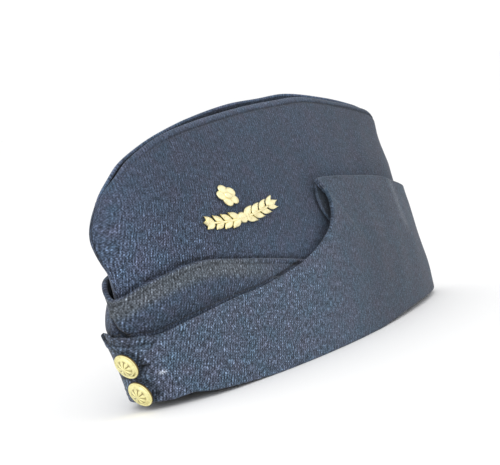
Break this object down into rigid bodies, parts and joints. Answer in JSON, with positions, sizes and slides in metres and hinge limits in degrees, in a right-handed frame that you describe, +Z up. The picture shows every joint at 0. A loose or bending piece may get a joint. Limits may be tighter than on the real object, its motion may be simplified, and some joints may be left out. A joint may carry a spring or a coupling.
{
  "type": "garrison cap",
  "caption": "Field-service cap of blue-grey wool, with a boat-shaped crown, a small turned-up peak, a curtain buttoned over at the front and a leafy metal badge.",
  "frame": {"origin": "on the ground under the middle of the cap's bounding box", "axes": "+Z up, the front of the cap faces -Y, the wearer's left side with the badge is +X"},
  "size_m": [0.0804, 0.286, 0.1416],
  "materials": {
    "crown_cloth": "heavy brushed wool",
    "gusset_cloth": "heavy brushed wool",
    "peak_cloth": "worn heavy brushed wool",
    "curtain_cloth": "heavy brushed wool",
    "badge_gilt": "polished gilt",
    "button_gilt": "worn gilt"
  },
  "bodies": {
    "root": {"crown_left": "crown_cloth", "crown_right": "crown_cloth", "crown_gusset": "gusset_cloth", "peak": "peak_cloth", "curtain_left": "curtain_cloth", "curtain_right": "curtain_cloth", "badge_spray": "badge_gilt", "badge_rosette": "badge_gilt", "button_upper": "button_gilt", "button_lower": "button_gilt"}
  },
  "joints": []
}
